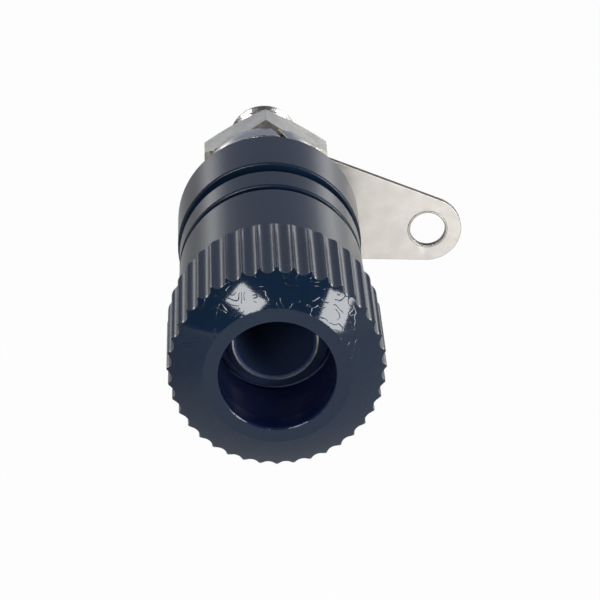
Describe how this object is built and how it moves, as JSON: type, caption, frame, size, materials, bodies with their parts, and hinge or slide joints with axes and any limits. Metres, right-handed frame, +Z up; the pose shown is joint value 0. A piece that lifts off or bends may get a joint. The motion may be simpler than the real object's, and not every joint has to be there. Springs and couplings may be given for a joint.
{
  "type": "binding post",
  "caption": "Panel binding post: knurled black screw cap over a 4 mm plug socket, panel insulators, M4 stud with thin nuts, split washer and solder lug.",
  "frame": {"origin": "on the post's axis, on the rear face of the front collar, which seats on the front of the panel", "axes": "+Y along the post from the cap to the stud, +Z up, +X towards the solder lug"},
  "size_m": [0.0166, 0.0319, 0.011],
  "materials": {
    "moulded_plastic": "semi-gloss moulded",
    "plated_brass": "nickel plated",
    "tinned_sheet": "tin plated, satin",
    "spring_steel": "nickel plated"
  },
  "bodies": {
    "post_body": {"post": "plated_brass", "front_collar": "moulded_plastic"},
    "cap_carrier": {"cap_insert": "plated_brass"},
    "cap": {"cap_shell": "moulded_plastic"},
    "rear_stack": {"rear_insulator": "moulded_plastic", "lock_washer": "spring_steel"},
    "inner_nut": {"clamp_nut": "plated_brass"},
    "lug": {"solder_lug": "tinned_sheet"},
    "outer_nut": {"terminal_nut": "plated_brass"}
  },
  "joints": [
    {"name": "cap_travel", "type": "slide", "parent": "post_body", "child": "cap_carrier", "axis": [0, -1, 0], "range_m": [0, 0.006]},
    {"name": "cap_turn", "type": "hinge", "parent": "cap_carrier", "child": "cap", "pos_m": [0, -0.00848, 0], "axis": [0, -1, 0], "range_deg": [0, 2880]},
    {"name": "clamp_travel", "type": "slide", "parent": "post_body", "child": "rear_stack", "axis": [0, 1, 0], "range_m": [0, 0.0042]},
    {"name": "inner_nut_turn", "type": "hinge", "parent": "rear_stack", "child": "inner_nut", "pos_m": [0, 0.00603, 0], "axis": [0, 1, 0], "range_deg": [0, 2160]},
    {"name": "outer_nut_turn", "type": "hinge", "parent": "rear_stack", "child": "outer_nut", "pos_m": [0, 0.01022, 0], "axis": [0, 1, 0], "range_deg": [0, 2160]},
    {"name": "lug_swivel", "type": "hinge", "parent": "rear_stack", "child": "lug", "pos_m": [0, 0.00751, 0], "axis": [0, 1, 0], "continuous": true}
  ],
  "couplings": [
    {"joint": "cap_turn", "follows": "cap_travel", "rad_per_m": 8377.6},
    {"joint": "inner_nut_turn", "follows": "clamp_travel", "rad_per_m": 8976},
    {"joint": "outer_nut_turn", "follows": "clamp_travel", "rad_per_m": 8976}
  ]
}
